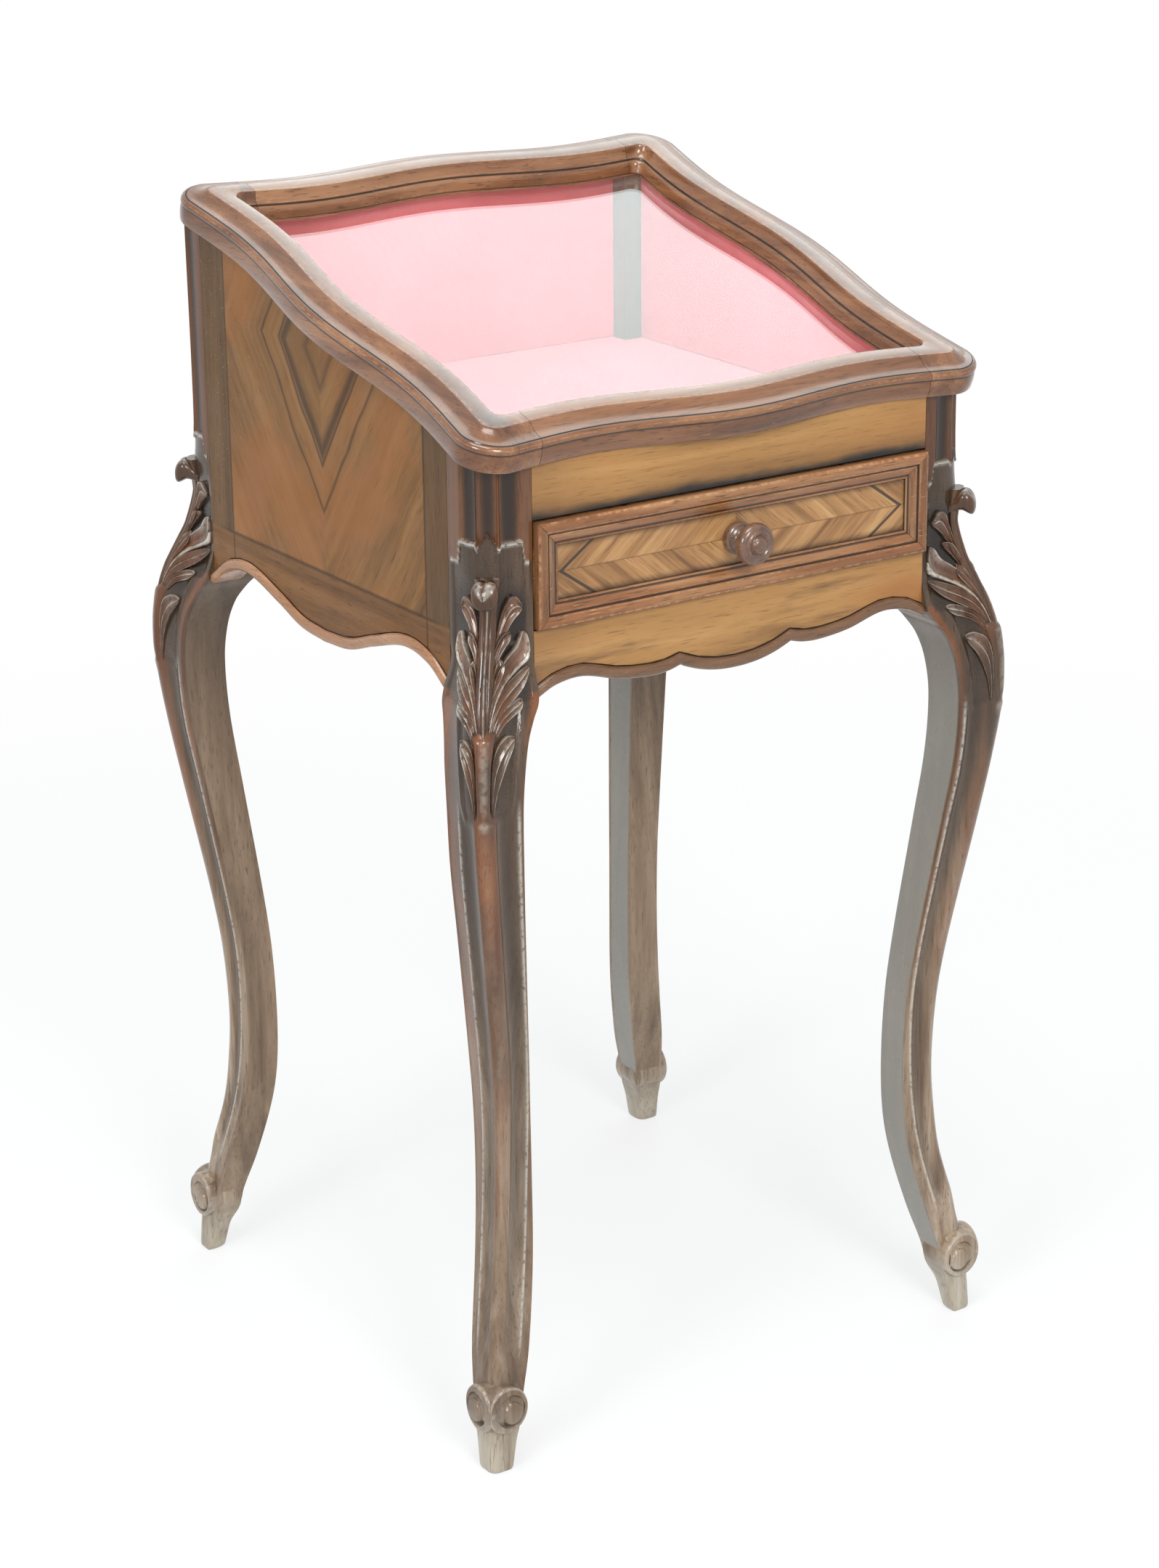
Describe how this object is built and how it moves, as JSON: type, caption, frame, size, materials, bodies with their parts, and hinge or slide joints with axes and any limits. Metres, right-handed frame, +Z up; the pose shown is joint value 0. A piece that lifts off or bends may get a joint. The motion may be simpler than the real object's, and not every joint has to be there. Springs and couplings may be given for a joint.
{
  "type": "display table",
  "caption": "Square display table on cabriole legs, with a sloping hinged glass lid over a cloth-lined compartment and a drawer with a turned knob.",
  "frame": {"origin": "on the floor under the middle of the case", "axes": "+Z up, -Y towards the drawer's front, +X to the right seen from the front"},
  "size_m": [0.4226, 0.4293, 0.793],
  "materials": {
    "dark_wood": "French polished",
    "red_wood": "French polished",
    "golden_wood": "French polished",
    "veneer": "French polished veneer",
    "plain_wood": "bare",
    "cloth": "matt cloth on card",
    "glass": "polished",
    "brass": "aged"
  },
  "bodies": {
    "case": {"leg_front_left": "dark_wood", "leg_front_right": "dark_wood", "leg_back_left": "dark_wood", "leg_back_right": "dark_wood", "side_panel_left": "veneer", "side_panel_right": "veneer", "back_panel": "veneer", "front_apron": "golden_wood", "front_rail": "golden_wood", "front_bead": "red_wood", "back_bead": "red_wood", "side_bead_left": "red_wood", "side_bead_right": "red_wood", "display_floor": "plain_wood", "floor_cleat_left": "plain_wood", "floor_cleat_right": "plain_wood", "lining_floor": "cloth", "lining_front": "cloth", "lining_back": "cloth", "lining_left": "cloth", "lining_right": "cloth", "drawer_runner_left": "plain_wood", "drawer_runner_right": "plain_wood", "hinge_case_leaf_left": "brass", "hinge_case_leaf_right": "brass", "hinge_pin_left": "brass", "hinge_pin_right": "brass", "case_screw_left_a": "brass", "case_screw_left_b": "brass", "case_screw_right_a": "brass", "case_screw_right_b": "brass"},
    "lid": {"lid_rail_front": "red_wood", "lid_rail_back": "red_wood", "lid_stile_left": "red_wood", "lid_stile_right": "red_wood", "glass_pane": "glass", "glazing_bead_front": "red_wood", "glazing_bead_back": "red_wood", "glazing_bead_left": "red_wood", "glazing_bead_right": "red_wood", "hinge_lid_leaf_left": "brass", "hinge_lid_leaf_right": "brass", "lid_screw_left_a": "brass", "lid_screw_left_b": "brass", "lid_screw_right_a": "brass", "lid_screw_right_b": "brass"},
    "drawer": {"drawer_front": "golden_wood", "drawer_side_left": "plain_wood", "drawer_side_right": "plain_wood", "drawer_back": "plain_wood", "drawer_bottom": "plain_wood", "drawer_moulding_top": "red_wood", "drawer_moulding_bottom": "red_wood", "drawer_moulding_left": "red_wood", "drawer_moulding_right": "red_wood", "knob": "dark_wood"}
  },
  "joints": [
    {"name": "lid_hinge", "type": "hinge", "parent": "case", "child": "lid", "pos_m": [0, 0.18771, 0.77625], "axis": [-1, 0, 0], "range_deg": [0, 110]},
    {"name": "drawer_slide", "type": "slide", "parent": "case", "child": "drawer", "axis": [0, -1, 0], "range_m": [0, 0.2]}
  ]
}
